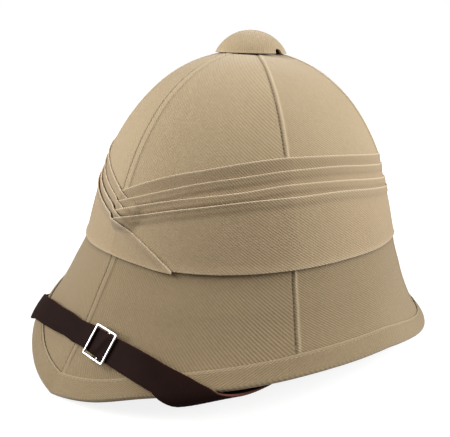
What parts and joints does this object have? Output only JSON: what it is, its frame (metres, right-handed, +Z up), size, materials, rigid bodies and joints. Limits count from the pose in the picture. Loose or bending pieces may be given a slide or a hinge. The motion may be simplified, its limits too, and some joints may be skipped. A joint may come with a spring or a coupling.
{
  "type": "pith helmet",
  "caption": "Khaki cloth-covered pith helmet with a flared brim, pleated cloth wrap, domed vent button and a buckled leather chin strap over the front.",
  "frame": {"origin": "centre of the helmet's box, on the surface it rests on", "axes": "+Z up, the front towards -Y, the wearer's left towards +X"},
  "size_m": [0.2786, 0.3405, 0.226],
  "materials": {
    "shell_cloth": "fine cotton twill",
    "wrap_cloth": "fine cotton twill",
    "strap_leather": "smooth",
    "buckle_steel": "bright plated"
  },
  "bodies": {
    "root": {"crown": "shell_cloth", "brim": "shell_cloth", "brim_binding": "shell_cloth", "vent_button": "shell_cloth", "button_post": "buckle_steel", "wrap_pleat_1": "wrap_cloth", "wrap_pleat_2": "wrap_cloth", "wrap_pleat_3": "wrap_cloth", "wrap_band": "wrap_cloth", "chin_strap": "strap_leather", "strap_stud_left": "buckle_steel", "strap_stud_right": "buckle_steel", "buckle": "buckle_steel"}
  },
  "joints": []
}
